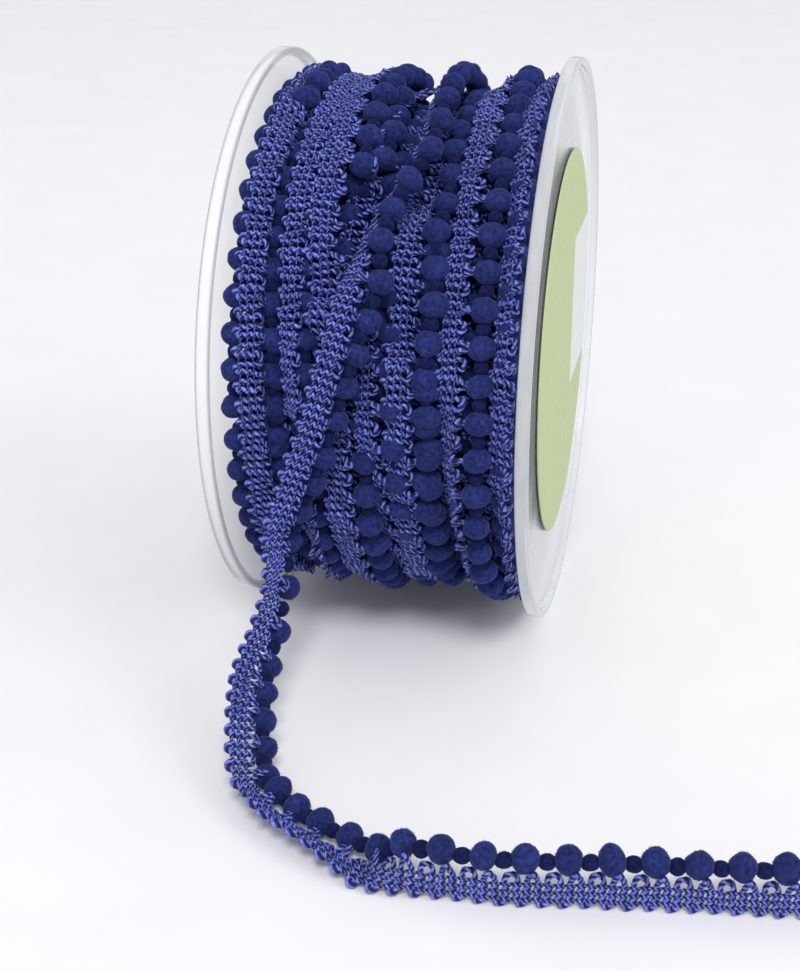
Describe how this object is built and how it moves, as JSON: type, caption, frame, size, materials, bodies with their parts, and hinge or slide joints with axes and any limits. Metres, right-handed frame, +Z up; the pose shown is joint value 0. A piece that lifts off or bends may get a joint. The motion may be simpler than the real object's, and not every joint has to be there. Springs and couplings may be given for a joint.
{
  "type": "pompom fringe trim on a spool",
  "caption": "Narrow crocheted braid with a chain of small pompoms along one edge, wound on a clear flanged spool, its loose end drawn over the roll and laid out in front.",
  "frame": {"origin": "middle of the underside of the whole object, on the surface that the spool and the loose end rest on", "axes": "+Z up, X along the spool's axis with the label side at +X, -Y towards the loose end laid out in front"},
  "size_m": [0.1082, 0.1504, 0.0999],
  "materials": {
    "braid_yarn": "shiny filament yarn, crocheted",
    "pompom_pile": "matt clipped chenille pile",
    "clear_plastic": "clear moulded plastic",
    "core_plastic": "plain moulded plastic",
    "label_paper": "plain satin paper, blank"
  },
  "bodies": {
    "root": {"flange_left": "clear_plastic", "flange_right": "clear_plastic", "hub": "core_plastic", "label": "label_paper", "roll": "pompom_pile", "loose_braid": "braid_yarn", "pompoms_over_roll": "pompom_pile", "pompoms_hanging": "pompom_pile", "pompoms_at_bend": "pompom_pile", "pompoms_on_table": "pompom_pile"}
  },
  "joints": []
}
